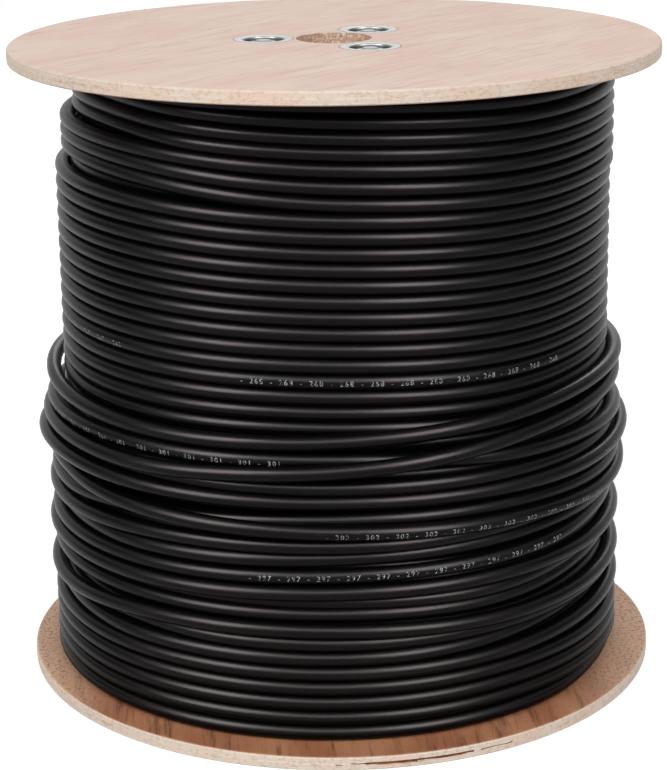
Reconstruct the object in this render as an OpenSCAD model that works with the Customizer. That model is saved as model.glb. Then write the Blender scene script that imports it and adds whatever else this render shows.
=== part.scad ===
// Wooden cable drum: two plywood flanges pulled onto a paperboard barrel by three tie rods, wound with round cable.
// The drum stands on its lower flange, with its axis along +Z and its origin at the centre of its underside.

/* [Flanges] */
// Diameter of each plywood flange
flange_d = 300; // [290:1:400]
// Thickness of the plywood
flange_t = 6.5; // [4:0.5:12]
// Chamfer that eases the sawn rim
rim_ease = 0.6; // [0.2:0.1:1.5]
// Diameter of the arbor hole through both flanges
arbor_d = 35; // [20:0.5:45]

/* [Barrel] */
// Clear distance between the two flanges
traverse = 283.5; // [200:0.5:400]
// Outside diameter of the paperboard barrel
barrel_d = 104; // [86:1:112]
// Wall thickness of the barrel
barrel_wall = 7; // [3:0.5:8]
// Depth of the groove that seats each end of the barrel
groove_depth = 2; // [1:0.25:3]
// Gap on each side of the barrel's wall in its groove
groove_clear = 0.2; // [0.1:0.05:0.4]

/* [Cable] */
// Outside diameter of the cable
cable_d = 6.9; // [6:0.1:7.5]
// Layers that run from flange to flange
full_layers = 13; // [6:1:13]
// Turns of the outer layer, which stops part of the way up
part_turns = 21; // [18:1:30]
// Turn of the outer layer above which a few loose turns ride
ride_start = 14; // [2:1:14]
// Loose turns that ride on the outer layer
ride_turns = 4; // [1:1:4]
// How far each layer presses into the one beneath
lay_sink = 0.1; // [0.05:0.05:0.3]
// Gap between the winding and the drum around it
lay_clear = 0.3; // [0.2:0.05:0.5]

/* [Tie rods] */
// Diameter of a tie rod
rod_d = 8; // [6:0.5:8]
// Depth of a rod's end below the flange's face
rod_end_depth = 0.5; // [0.2:0.1:1.2]
// Chamfer on a rod's ends
rod_ease = 0.8; // [0.3:0.1:1.5]

/* [Cup washers] */
// Diameter of the washer's flat ring
cup_ring_d = 28; // [26:0.5:28.5]
// Inside diameter of the cup
cup_bore_d = 19; // [17:0.5:20]
// Thickness of the pressed sheet
cup_sheet = 1.2; // [0.8:0.1:1.5]
// Depth of the seat inside the cup
cup_depth = 8; // [7.5:0.5:10]
// Radius where the ring rolls over into the cup
cup_lip_r = 1; // [0.4:0.1:1.1]
// Gap between the washer and the wood around it
cup_clear = 0.2; // [0.1:0.05:0.3]
// Wood left between a washer's seat and the arbor hole
cup_land = 0.8; // [0.4:0.1:3]

/* [Nuts] */
// Width of a nut across its flats
nut_flats = 13; // [11:0.5:14]
// Height of a nut
nut_h = 6.5; // [5:0.5:7]
// Gap between a rod and the holes that it runs through
rod_clear = 0.1; // [0.05:0.05:0.2]

/* [Hidden] */
$fn = 96;

rod_count = 3;
rod_start_angle = 60;
drum_h = traverse + 2 * flange_t;
through = 1;

barrel_bore_d = barrel_d - 2 * barrel_wall;
barrel_len = traverse + 2 * groove_depth;
cup_body_d = cup_bore_d + 2 * cup_sheet;
cup_h = cup_depth + cup_sheet;
rod_circle_d = arbor_d + cup_ring_d + 2 * (cup_clear + cup_land);
rod_hole_d = rod_d + 2 * rod_clear;
nut_corners = nut_flats / cos(30);

// The turns of a layer fill the traverse, and every other layer lies half a turn higher.
lay_h = traverse - 2 * lay_clear - cable_d;
turns = floor(lay_h / cable_d + 0.5);
turn_pitch = lay_h / (turns - 0.5);
layer_rise = sqrt(pow(cable_d, 2) - pow(turn_pitch / 2, 2)) - lay_sink;
top_turn = turns - 1;
outer_layer = full_layers - 1;
part_layer = full_layers;
ride_layer = full_layers + 1;
winding_bore_r = barrel_d / 2 + lay_clear;

// Radius and height of the middle of one turn
function turn_r(layer) = (barrel_d + cable_d) / 2 + layer * layer_rise;
function turn_z(layer, turn) =
    flange_t + lay_clear + cable_d / 2 + (turn + (layer % 2) / 2) * turn_pitch;
function turn_at(layer, turn) = [turn_r(layer), turn_z(layer, turn)];

// The turns that show: up the lower ends, out along each layer that lies bare, and back down the upper ends
ride_end = ride_start + ride_turns - 1;
ride_low_z = turn_z(ride_layer, ride_start);
ride_high_z = turn_z(ride_layer, ride_end);
part_high_z = turn_z(part_layer, part_turns - 1);
lower_ends = [for (layer = [0 : outer_layer]) turn_at(layer, 0)];
part_below = [
    for (turn = [0 : part_turns - 1])
        if (turn_z(part_layer, turn) < ride_low_z) turn_at(part_layer, turn)
];
ride = [for (turn = [ride_start : ride_end]) turn_at(ride_layer, turn)];
part_above = [
    for (turn = [0 : part_turns - 1])
        if (turn_z(part_layer, turn) > ride_high_z) turn_at(part_layer, turn)
];
outer_bare = [
    for (turn = [0 : top_turn])
        if (turn_z(outer_layer, turn) > part_high_z) turn_at(outer_layer, turn)
];
upper_ends = [for (layer = [outer_layer - 1 : -1 : 0]) turn_at(layer, top_turn)];
bare_turns = concat(lower_ends, part_below, ride, part_above, outer_bare, upper_ends);

function rod_angle(i) = rod_start_angle + (i - 1) * 360 / rod_count;

// Puts a shape that is drawn about the Z axis onto the axis of tie rod i
module at_rod(i) {
    rotate(rod_angle(i)) translate([rod_circle_d / 2, 0, 0]) children();
}

// Turns a shape drawn on the lower flange over onto the upper one
module at_top() {
    translate([0, 0, drum_h]) mirror([0, 0, 1]) children();
}

// A plywood disc with its outer face at z = 0: arbor hole, cup seats and the barrel's groove
module flange() {
    rim_r = flange_d / 2;
    difference() {
        rotate_extrude()
            polygon([
                [arbor_d / 2, 0],
                [rim_r - rim_ease, 0],
                [rim_r, rim_ease],
                [rim_r, flange_t - rim_ease],
                [rim_r - rim_ease, flange_t],
                [arbor_d / 2, flange_t]
            ]);
        for (i = [1 : rod_count]) at_rod(i) cup_seat();
        translate([0, 0, flange_t - groove_depth]) barrel_groove();
    }
}

// Room for one cup washer in a flange: a shallow counterbore for its ring and a hole for its cup
module cup_seat() {
    translate([0, 0, -through])
        cylinder(d = cup_ring_d + 2 * cup_clear, h = cup_sheet + through);
    cup_hole(flange_t + through);
}

// A hole for the cup of a washer, from the flange's outer face down to a depth
module cup_hole(depth) {
    translate([0, 0, -through])
        cylinder(d = cup_body_d + 2 * cup_clear, h = depth + through);
}

// Room for a tie rod and the cups at its two ends, which a narrow barrel is notched for
module rod_room() {
    cylinder(d = rod_hole_d, h = drum_h);
    cup_hole(cup_h + cup_clear);
    at_top() cup_hole(cup_h + cup_clear);
}

// The ring-shaped groove that an end of the barrel stands in
module barrel_groove() {
    difference() {
        cylinder(d = barrel_d + 2 * groove_clear, h = groove_depth + through);
        translate([0, 0, -through])
            cylinder(d = barrel_bore_d - 2 * groove_clear, h = groove_depth + 3 * through);
    }
}

module lower_flange() {
    color("BurlyWood") flange();
}

module upper_flange() {
    color("BurlyWood") at_top() flange();
}

// The paperboard tube, standing on the floors of the two grooves
module barrel() {
    color("Peru")
        difference() {
            translate([0, 0, flange_t - groove_depth]) cylinder(d = barrel_d, h = barrel_len);
            cylinder(d = barrel_bore_d, h = drum_h);
            for (i = [1 : rod_count]) at_rod(i) rod_room();
        }
}

// The whole winding as one turned solid: every turn that lies bare shows its round section
module cable_winding() {
    inner = [[barrel_d / 2, turn_z(0, 0)]];
    inner_top = [[barrel_d / 2, turn_z(0, top_turn)]];
    color("DimGray")
        rotate_extrude()
            difference() {
                union() {
                    polygon(concat(inner, bare_turns, inner_top));
                    for (middle = bare_turns) translate(middle) circle(d = cable_d, $fn = 48);
                }
                square([winding_bore_r, drum_h]);
            }
}

// A plain rod with eased ends, from just inside one face of the drum to just inside the other
module tie_rod(i) {
    rod_r = rod_d / 2;
    low = rod_end_depth;
    high = drum_h - rod_end_depth;
    color("Silver")
        at_rod(i)
            rotate_extrude()
                polygon([
                    [0, low],
                    [rod_r - rod_ease, low],
                    [rod_r, low + rod_ease],
                    [rod_r, high - rod_ease],
                    [rod_r - rod_ease, high],
                    [0, high]
                ]);
}

// A pressed cup washer: flat ring at z = 0, lip rolled over into the cup, floor with the rod's hole
module cup_washer() {
    bore_r = cup_bore_d / 2;
    body_r = cup_body_d / 2;
    hole_r = rod_hole_d / 2;
    rotate_extrude()
        difference() {
            polygon([
                [bore_r, 0],
                [cup_ring_d / 2, 0],
                [cup_ring_d / 2, cup_sheet],
                [body_r, cup_sheet],
                [body_r, cup_h],
                [hole_r, cup_h],
                [hole_r, cup_depth],
                [bore_r, cup_depth]
            ]);
            translate([bore_r, 0])
                difference() {
                    translate([-through, -through]) square(cup_lip_r + through);
                    translate([cup_lip_r, cup_lip_r]) circle(cup_lip_r);
                    translate([-through, cup_lip_r]) square([through, through]);
                }
        }
}

module lower_cup(i) {
    color("Gainsboro") at_rod(i) cup_washer();
}

module upper_cup(i) {
    color("Gainsboro") at_top() at_rod(i) cup_washer();
}

// A hexagon nut on the cup's floor, with its corners turned off at both ends
module nut() {
    corner_ease = (nut_corners - nut_flats) / 2;
    slope = corner_ease * tan(30);
    low = cup_depth - nut_h;
    difference() {
        intersection() {
            translate([0, 0, low]) cylinder(d = nut_corners, h = nut_h, $fn = 6);
            rotate_extrude()
                polygon([
                    [0, low],
                    [nut_flats / 2, low],
                    [nut_corners / 2, low + slope],
                    [nut_corners / 2, cup_depth - slope],
                    [nut_flats / 2, cup_depth],
                    [0, cup_depth]
                ]);
        }
        translate([0, 0, low - through]) cylinder(d = rod_hole_d, h = nut_h + 2 * through);
    }
}

module lower_nut(i) {
    color("LightGray") at_rod(i) nut();
}

module upper_nut(i) {
    color("LightGray") at_top() at_rod(i) nut();
}

lower_flange();
upper_flange();
barrel();
cable_winding();
for (i = [1 : rod_count]) {
    tie_rod(i);
    lower_cup(i);
    upper_cup(i);
    lower_nut(i);
    upper_nut(i);
}
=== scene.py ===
# %% [markdown]
# A wooden cable drum
#
# Two plywood discs are pulled onto a paperboard tube by three tie rods, and the tube is wound full of
# round black cable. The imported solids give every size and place. This lesson gives the drum its looks:
# wood that shows its plies, zinc on the washers, and a winding whose turns lie beside and over each
# other.

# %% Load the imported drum
import math
from collections import namedtuple
from itertools import combinations

import bpy
import numpy as np
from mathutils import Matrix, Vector


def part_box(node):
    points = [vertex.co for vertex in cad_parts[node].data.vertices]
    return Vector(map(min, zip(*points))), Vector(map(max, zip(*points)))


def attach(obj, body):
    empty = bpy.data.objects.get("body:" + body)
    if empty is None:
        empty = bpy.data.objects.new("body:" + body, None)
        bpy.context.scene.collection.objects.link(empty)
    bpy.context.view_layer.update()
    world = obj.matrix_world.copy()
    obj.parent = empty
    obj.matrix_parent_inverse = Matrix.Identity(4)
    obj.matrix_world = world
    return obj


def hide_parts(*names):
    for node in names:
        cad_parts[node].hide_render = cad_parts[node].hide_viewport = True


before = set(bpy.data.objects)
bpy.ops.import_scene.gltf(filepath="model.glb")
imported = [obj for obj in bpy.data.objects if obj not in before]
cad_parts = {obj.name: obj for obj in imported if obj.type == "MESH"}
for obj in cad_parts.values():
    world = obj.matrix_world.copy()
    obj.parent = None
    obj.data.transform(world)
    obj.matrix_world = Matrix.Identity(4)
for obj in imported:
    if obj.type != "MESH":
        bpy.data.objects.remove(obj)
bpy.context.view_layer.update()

MM = 0.001


def in_mm(vector):
    return [round(float(value) / MM, 1) for value in vector]


# %% [markdown]
# The camera
#
# The picture was taken with a long lens a little above the drum's top, so the drum tapers slightly
# downwards. The two flanges' outlines fix the camera: how far away it stands, how high, and how much it
# was tipped. A small lens shift puts the drum where it sits in the frame.

# %% Camera
PHOTO_W = 667
PHOTO_H = 770
FOCAL_PX = 2244
AXIS_PX = (337.8, 347.7)
AIM = Vector((0, 0, 148 * MM))
DISTANCE = 1075 * MM
ELEVATION = math.radians(15.834)
ROLL = math.radians(-0.724)
SENSOR_MM = 36

lens = bpy.data.cameras.new("photo_camera")
lens.sensor_width = SENSOR_MM
lens.lens = FOCAL_PX / PHOTO_H * SENSOR_MM
lens.shift_x = (PHOTO_W / 2 - AXIS_PX[0]) / PHOTO_H
lens.shift_y = (AXIS_PX[1] - PHOTO_H / 2) / PHOTO_H
camera = bpy.data.objects.new("photo_camera", lens)
camera.location = AIM + DISTANCE * Vector((0, -math.cos(ELEVATION), math.sin(ELEVATION)))
camera.rotation_euler = (math.pi / 2 - ELEVATION, 0, 0)
camera.rotation_euler.rotate_axis("Z", ROLL)
bpy.context.scene.collection.objects.link(camera)
bpy.context.scene.camera = camera
print("camera at", in_mm(camera.location), "mm with a", round(lens.lens, 1), "mm lens")

# %% [markdown]
# Studio light
#
# Black cable shows only what it mirrors. Two soft boxes stand to the left and right of the camera,
# higher than it does, a wider and weaker one fills in between them, and another lights the drum's back.
# Behind each box hangs a brighter panel that shows only as gloss on the cable, so every turn gets its
# long highlight and the wood is lit no more than it should be.

# %% Soft boxes
LAMP_DISTANCE = 6
PANEL_DISTANCE = 6.3
glossy_pieces = bpy.data.collections.new("glossy_pieces")


def flat_lamp(name, azimuth, elevation, distance, wide, high, radiance):
    """A flat lamp that faces the drum from an azimuth and elevation in degrees."""
    lamp = bpy.data.lights.new(name, "AREA")
    lamp.shape = "RECTANGLE"
    lamp.size = wide
    lamp.size_y = high
    lamp.energy = radiance * math.pi * wide * high
    box = bpy.data.objects.new(name, lamp)
    turn = math.radians(azimuth)
    rise = math.radians(elevation)
    outward = Vector((math.cos(turn) * math.cos(rise), math.sin(turn) * math.cos(rise), math.sin(rise)))
    box.location = AIM + distance * outward
    box.rotation_euler = outward.to_track_quat("Z", "Y").to_euler()
    bpy.context.scene.collection.objects.link(box)
    return box


def soft_box(name, azimuth, elevation, wide, high, light, gloss):
    """A lamp for the whole drum, and a brighter panel behind it for the cable's gloss."""
    flat_lamp("soft_box_" + name, azimuth, elevation, LAMP_DISTANCE, wide, high, light)
    panel = flat_lamp("gloss_panel_" + name, azimuth, elevation, PANEL_DISTANCE, wide, high, gloss)
    panel.visible_diffuse = False
    panel.light_linking.receiver_collection = glossy_pieces


soft_box("left", azimuth=-142, elevation=34, wide=2.8, high=4.4, light=5.6, gloss=29)
soft_box("right", azimuth=-55, elevation=34, wide=2.8, high=4.4, light=5.6, gloss=28)
soft_box("front", azimuth=-99, elevation=36, wide=3.6, high=3, light=2.2, gloss=8.6)
soft_box("back", azimuth=81, elevation=42, wide=4.4, high=3, light=2, gloss=10)
print("lamps:", [lamp.name for lamp in bpy.data.lights])

# %% [markdown]
# Wiring nodes
#
# The room and every finish on the drum are worked out by nodes, so nothing needs a picture. Nodes are
# quick to wire by hand in the shader editor. In a script, short helpers keep the wiring readable: one
# sets or links a socket, and the others add the nodes that turn up again and again.

# %% First node helpers
def plug(tree, socket, value):
    """Links a socket to another one, or sets its value."""
    if isinstance(value, bpy.types.NodeSocket):
        tree.links.new(value, socket)
    else:
        socket.default_value = value


def calc(tree, operation, *values):
    """A Math node."""
    made = tree.nodes.new("ShaderNodeMath")
    made.operation = operation
    for socket, value in zip(made.inputs, values):
        plug(tree, socket, value)
    return made.outputs[0]


def ramp(tree, value, low, high, start=0, end=1, kind="LINEAR"):
    """Goes from start to end while a value goes from low to high, and stays level outside."""
    made = tree.nodes.new("ShaderNodeMapRange")
    made.interpolation_type = kind
    for socket, setting in zip(made.inputs, (value, low, high, start, end)):
        plug(tree, socket, setting)
    return made.outputs[0]


def parts_of(tree, vector):
    """The three numbers of a vector."""
    made = tree.nodes.new("ShaderNodeSeparateXYZ")
    tree.links.new(vector, made.inputs[0])
    return made.outputs


print("first helpers are ready")

# %% [markdown]
# The white room
#
# The room is white to the eye, and mostly white in anything shiny, but it lights the drum only mildly.
# A studio is darker beside the set than behind it. The cable mirrors that as a dark stretch near each
# of its edges, so the left and right of the room are dimmed for what is mirrored, and never for the
# eye.

# %% Room
bpy.context.scene.view_settings.view_transform = "Standard"

WHITE = (1, 1, 1, 1)
ROOM_LIGHT = 0.16
ROOM_SIDES = 0.12
SIDES_FROM = 0.75
SIDES_FULL = 0.93
AHEAD_FROM = -0.4
AHEAD_FULL = 0


def seen_white(tree):
    """A value that is 1 for what the camera sees, straight or in shiny and clear surfaces."""
    path = tree.nodes.new("ShaderNodeLightPath").outputs
    mirrored = calc(tree, "MAXIMUM", path["Is Glossy Ray"], path["Is Transmission Ray"])
    return calc(tree, "MAXIMUM", path["Is Camera Ray"], mirrored)


room = bpy.data.worlds.new("white_room")
room.use_nodes = True
air = room.node_tree
backdrop = air.nodes["Background"].inputs
backdrop["Color"].default_value = WHITE
direction = parts_of(air, air.nodes.new("ShaderNodeTexCoord").outputs["Generated"])
sideways = ramp(air, calc(air, "ABSOLUTE", direction[0]), SIDES_FROM, SIDES_FULL)
not_ahead = ramp(air, direction[1], AHEAD_FROM, AHEAD_FULL)
dimmed = calc(air, "MULTIPLY", sideways, not_ahead)
in_mirrors = ramp(air, dimmed, 0, 1, start=1, end=ROOM_SIDES)
level = ramp(air, seen_white(air), 0, 1, start=ROOM_LIGHT, end=in_mirrors)
to_the_eye = air.nodes.new("ShaderNodeLightPath").outputs["Is Camera Ray"]
plug(air, backdrop["Strength"], calc(air, "MAXIMUM", level, to_the_eye))
bpy.context.scene.world = room
print("room lights the drum at", ROOM_LIGHT)

# %% [markdown]
# The floor
#
# A broad pale sheet carries the drum. Its own faint glow, for the eye only, brings it up to the white
# of the room, and the drum's soft shadow still falls on it.

# %% Floor
FLOOR_SIZE = 5
FLOOR_COLOUR = (0.55, 0.55, 0.55, 1)
FLOOR_ROUGHNESS = 0.9
FLOOR_GLOW = 0.66


def new_material(name):
    """A material, its tree, and the sockets of its Principled BSDF."""
    material = bpy.data.materials.new(name)
    material.use_nodes = True
    tree = material.node_tree
    return material, tree, tree.nodes["Principled BSDF"].inputs


bpy.ops.object.select_all(action="DESELECT")
bpy.ops.mesh.primitive_plane_add(size=FLOOR_SIZE, location=(0, 0, 0))
floor = bpy.context.object
floor.name = "floor"
paper, tree, surface = new_material("pale_floor")
surface["Base Color"].default_value = FLOOR_COLOUR
surface["Roughness"].default_value = FLOOR_ROUGHNESS
surface["Emission Color"].default_value = WHITE
plug(tree, surface["Emission Strength"], calc(tree, "MULTIPLY", seen_white(tree), FLOOR_GLOW))
floor.data.materials.append(paper)
print("floor is", FLOOR_SIZE, "m wide")

# %% [markdown]
# Laying the cable
#
# The winding is one length of cable, and its look comes from how the turns lie. Every point of a turn
# has a height, which the winder's hand set, and a radius, which follows from what lies beneath it. A
# spiral with some noise would be quicker to make, but its turns would cut through each other. So the
# heights are written down and the radii are worked out: a new turn rests in the groove between two
# older ones, or climbs over one that it crosses. Azimuths are in degrees, with the front of the drum at
# -90.

# %% The rule for resting turns
CABLE_D = 6.9 * MM
CONTACT_D = 6.4 * MM
STEP = 3
STEPS = 360 // STEP
LEFT = -165
ROUTE_SPAN = 36


def smooth(values, span):
    """Evens out a row of values over a span in degrees."""
    half = int(span / 2 / STEP)
    weights = np.hanning(2 * half + 3)[1:-1]
    padded = np.pad(values, half, mode="edge")
    return np.convolve(padded, weights / weights.sum(), mode="valid")


def route(angles, heights):
    """Points every few degrees along a strand through the given angles and heights."""
    along = np.arange(angles[0], angles[-1] + STEP / 2, STEP)
    return along, smooth(np.interp(along, angles, heights), ROUTE_SPAN)


def column(angle):
    """The place of an azimuth in the ring of columns that remember what has been laid."""
    return int(round((angle - LEFT) / STEP)) % STEPS


def remember(laid, along, heights, radii):
    """Adds the points of a strand to the columns that they lie in."""
    for angle, z, r in zip(along, heights, radii):
        laid[column(angle)].append((z, r))


def resting_radius(under, z):
    """How far out the middle of a strand lies on the strands already in its column."""
    heights, radii = np.array(under).T
    gap = (heights - z) / CONTACT_D
    touching = np.abs(gap) < 1
    return np.max(radii[touching] + CABLE_D * np.sqrt(1 - gap[touching] ** 2))


laid = [[] for _ in range(STEPS)]
print("one turn is laid in", STEPS, "steps")

# %% [markdown]
# The last full layer
#
# Above the middle the drum shows its thirteenth layer. Each turn runs level to the front, drops by half
# a turn where it crosses into the next groove, and lifts again to the right. At the left the upper
# turns lean up towards the flange, most of all just above the turn that steps out there. A few of the
# top turns crowd together at the front.

# %% Heights of the full layer
TOP_TURN_Z = 286.4 * MM
LAST_TURN_Z = 10.1 * MM
FULL_TURNS = 40
FULL_PITCH = (TOP_TURN_Z - LAST_TURN_Z) / FULL_TURNS
# By azimuth: the share of a turn's lean, and its drop in mm
LEAN_AT = {-165: 1, -145: 0.92, -125: 0.58, -110: 0.24, -95: 0}
DROP_AT = {-75: -1.5, -55: -3.5, -40: -3.1, -25: -1.8}
JOIN_AZIMUTH = 60
STEP_OUT_TURN = 7
LOWER_LEAN = 4.2
LEAN_LOST_EACH_TURN = 0.42
UPPER_LEAN = 5
LEAN_PEAK = 3.5
PEAK_TURN = 6
PEAK_TURNS = 1.5
CROWDING = 0.9
CROWDED_TURN = 3.5
CROWDED_TURNS = 1.4


def swell(value, middle, width):
    """A smooth hump of height 1 about a middle."""
    return np.exp(-(((value - middle) / width) ** 2))


def left_lean(turn):
    """How far a turn of the full layer stands above its front height at the far left, in mm."""
    if turn >= STEP_OUT_TURN:
        return LOWER_LEAN - LEAN_LOST_EACH_TURN * (turn - STEP_OUT_TURN)
    return UPPER_LEAN + LEAN_PEAK * swell(turn, PEAK_TURN, PEAK_TURNS)


full_angles = []
full_heights = []
for turn in range(FULL_TURNS + 1):
    front = TOP_TURN_Z - turn * FULL_PITCH + CROWDING * swell(turn, CROWDED_TURN, CROWDED_TURNS) * MM
    for azimuth, share in LEAN_AT.items():
        full_angles.append(azimuth + 360 * turn)
        full_heights.append(front + share * left_lean(turn) * MM)
    for azimuth, drop in DROP_AT.items():
        full_angles.append(azimuth + 360 * turn)
        full_heights.append(front + drop * MM)
full_angles.append(JOIN_AZIMUTH + 360 * FULL_TURNS)
full_heights.append(LAST_TURN_Z)
full_along, full_z = route(full_angles, np.clip(full_heights, LAST_TURN_Z, TOP_TURN_Z))
print("full layer runs from", round(full_z.max() / MM, 1), "down to", round(full_z.min() / MM, 1), "mm")

# %% [markdown]
# How far out the full layer lies
#
# A winding is never quite round. This one lies further out at the left below the turn that steps out
# there, and deeper above it. Its first turns have sunk into the layer beneath at the left, and only the
# front of them lies full.

# %% Radii of the full layer
FULL_R = 125.65 * MM
LAYER_RISE = 5.85 * MM
OUT_OF_ROUND = 1.2 * MM
DEEP_TURNS = 1.9 * MM
STEP_OUT_LEAD = 0.35
CHANGE_TURNS = 0.3
SUNK_TURNS = 3.4
SUNK_FROM = 0.45
SUNK_FULL = 0.9


def ease(value):
    """0 below 0, 1 above 1, and a smooth rise between."""
    value = np.clip(value, 0, 1)
    return value * value * (3 - 2 * value)


def leftward(along):
    """1 at the drum's left, -1 at its right."""
    return -np.cos(np.radians(along))


full_turn = (full_along - LEFT) / 360
full_left = leftward(full_along)
past_step = ease((full_turn - STEP_OUT_TURN + STEP_OUT_LEAD) / CHANGE_TURNS)
full_r = FULL_R + OUT_OF_ROUND * full_left * past_step
full_r -= DEEP_TURNS * (1 - past_step) * (0.5 + 0.5 * full_left)
at_left = ease((full_left - SUNK_FROM) / (SUNK_FULL - SUNK_FROM))
at_start = 1 - ease((full_turn - SUNK_TURNS) / CHANGE_TURNS)
full_r -= LAYER_RISE * at_left * at_start
remember(laid, full_along, full_z, full_r)
print("full layer lies", in_mm([full_r.min(), full_r.max()]), "mm from the axis")

# %% [markdown]
# The outer turns
#
# Below the middle an outer layer starts at the lower flange. Its first turns lie evenly, so a rule
# gives their heights. Higher up the winding was done by hand: turns cross, ride on each other and leave
# gaps, so their heights are chosen one by one at five azimuths, in millimetres, in the order in which
# they were laid.

# %% Heights of the outer turns
LOOK_AT = (-160, -125, -90, -55, -25)
EVEN_TURNS = 6
EVEN_START = 10.3
EVEN_PITCH = 6.95
RIGHT_LIFT = (0, -1, -1.5, -1.5, 2.5, 3)
LOOSE_TURNS = (
    (50, 52, 52, 50.5, 50),
    (51.5, 58, 58.5, 55.5, 55.5),
    (63, 64.5, 65, 63.5, 67),
    (69, 70, 70.5, 69.5, 71),
    (73, 74, 76, 76, 74.5),
    (80, 81, 83.5, 84, 86),
    (87, 89, 91.5, 91.5, 91.5),
    (92, 96, 97.5, 97, 97),
    (100.5, 105, 108.5, 107.5, 105),
    (122, 123, 123, 122, 119.5),
    (134, 135, 135.5, 130, 127),
    (109.5, 106.5, 104.5, 101.5, 98),
    (119.5, 117, 116.5, 115.5, 115.5),
    (127.5, 127, 132, 138, 142),
    (143.5, 142, 143.5, 147.5, 152),
)
LAST_OUTER = EVEN_TURNS + len(LOOSE_TURNS) - 1
# Azimuths and heights where the last turn starts with a loop and ends with a tail
TOP_LOOP = (-190, 147.5)
TAIL = ((20, 152), (80, 149.5), (115, 146.4), (142, 146.8))


def outer_knots(turn):
    """Azimuths and heights that an outer turn goes through."""
    if turn < EVEN_TURNS:
        even_z = EVEN_START + EVEN_PITCH * turn
        heights = [even_z] * (len(LOOK_AT) - 1) + [even_z + RIGHT_LIFT[turn]]
    else:
        heights = LOOSE_TURNS[turn - EVEN_TURNS]
    knots = list(zip(LOOK_AT, heights))
    return [TOP_LOOP, *knots, *TAIL] if turn == LAST_OUTER else knots


outer_angles = [JOIN_AZIMUTH - 360]
outer_heights = [LAST_TURN_Z]
for turn in range(LAST_OUTER + 1):
    for azimuth, z in outer_knots(turn):
        outer_angles.append(azimuth + 360 * turn)
        outer_heights.append(z * MM)
outer_along, outer_z = route(outer_angles, outer_heights)
print("outer turns:", EVEN_TURNS, "even and", len(LOOSE_TURNS), "loose")

# %% [markdown]
# How far out the outer turns lie
#
# Each point rests on what is under it, but no turn can stand further out than the winder's pull allows,
# and the few that ride on others may stand further out than the rest. The cable's end is tucked under
# the turn before it, at the back, so the end is pressed in and laid first.

# %% Resting on the turns below
OUTER_SWAY = 1.5 * MM
TAIL_PRESS = 2.4 * MM
# How far out a turn may ride, in mm: most turns, and by number the few that cross others
RIDE_LIMIT = 1.5
RIDING = {17: 4, 18: 5, 19: 4.5, 20: 4.5}
RIDE_SPAN = 60
REST_SPAN = 24

tail_azimuth = outer_along - 360 * LAST_OUTER
tail = tail_azimuth > TAIL[0][0]
tucked = ease((tail_azimuth - TAIL[1][0]) / (TAIL[2][0] - TAIL[1][0]))
turn_number = np.clip(((outer_along + 180) // 360).astype(int), 0, LAST_OUTER)
columns = [column(angle) for angle in outer_along]
on_full = np.array([resting_radius(laid[c], z) for c, z in zip(columns, outer_z)])
on_full += OUTER_SWAY * leftward(outer_along)
on_full -= TAIL_PRESS * tucked
ride = np.array([RIDING.get(number, RIDE_LIMIT) for number in turn_number])
furthest = on_full + smooth(ride, RIDE_SPAN) * MM
remember(laid, outer_along[tail], outer_z[tail], on_full[tail])
outer_r = on_full.copy()
for i in np.flatnonzero(~tail):
    pile = laid[columns[i]]
    resting = max(on_full[i], resting_radius(pile, outer_z[i]))
    outer_r[i] = min(resting, furthest[i])
    pile.append((outer_z[i], outer_r[i]))
outer_r = smooth(outer_r, REST_SPAN)
print(np.count_nonzero(outer_r > on_full + MM), "of", len(outer_r), "points ride on other outer turns")

# %% [markdown]
# Giving way
#
# A turn that another one crosses is pressed in, as far as the soft winding under it lets it go. The
# loop at the far left, where the last turn climbs over the edge of the outer layer, stands off a
# little.

# %% Pressed by the turns above
PRESS_LIMIT = 4 * MM
PRESS_SPAN = 18
LOOP_SLACK = 0.5 * MM
LOOP_SPAN = 22

by_column = [[] for _ in range(STEPS)]
for i, c in enumerate(columns):
    by_column[c].append(i)
for spots in by_column:
    for lower, upper in combinations(spots, 2):
        gap = abs(outer_z[upper] - outer_z[lower]) / CONTACT_D
        if gap < 1 and not tail[upper]:
            pressed_to = outer_r[upper] - CABLE_D * math.sqrt(1 - gap**2)
            outer_r[lower] = min(outer_r[lower], max(pressed_to, on_full[lower] - PRESS_LIMIT))
loop_at = TOP_LOOP[0] + 360 * LAST_OUTER
outer_r = smooth(outer_r, PRESS_SPAN) + LOOP_SLACK * swell(outer_along, loop_at, LOOP_SPAN)
print("outer turns lie", in_mm([outer_r.min(), outer_r.max()]), "mm from the axis")

# %% [markdown]
# From a route to a cable
#
# A Screw modifier makes only even turns. A curve with a round section follows any route, so each strand
# is a curve that is then made a mesh. The layer under the last full one shows only in the gaps between
# turns, so its tube has the fewest sides. Near the top it lies a layer deeper, because the full layer
# has sunk there.

# %% Cable pieces
UNDER_SINKS_Z = 244 * MM
UNDER_SINKS_OVER = 8 * MM
Strand = namedtuple("Strand", "along heights radii")


def strand_points(strand):
    """Points in space along a strand."""
    turn = np.radians(strand.along)
    return np.stack([strand.radii * np.cos(turn), strand.radii * np.sin(turn), strand.heights], axis=1)


def length_along(strand):
    """The length of cable up to each point of a strand."""
    steps = np.linalg.norm(np.diff(strand_points(strand), axis=0), axis=1)
    return np.concatenate([[0], np.cumsum(steps)])


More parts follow.
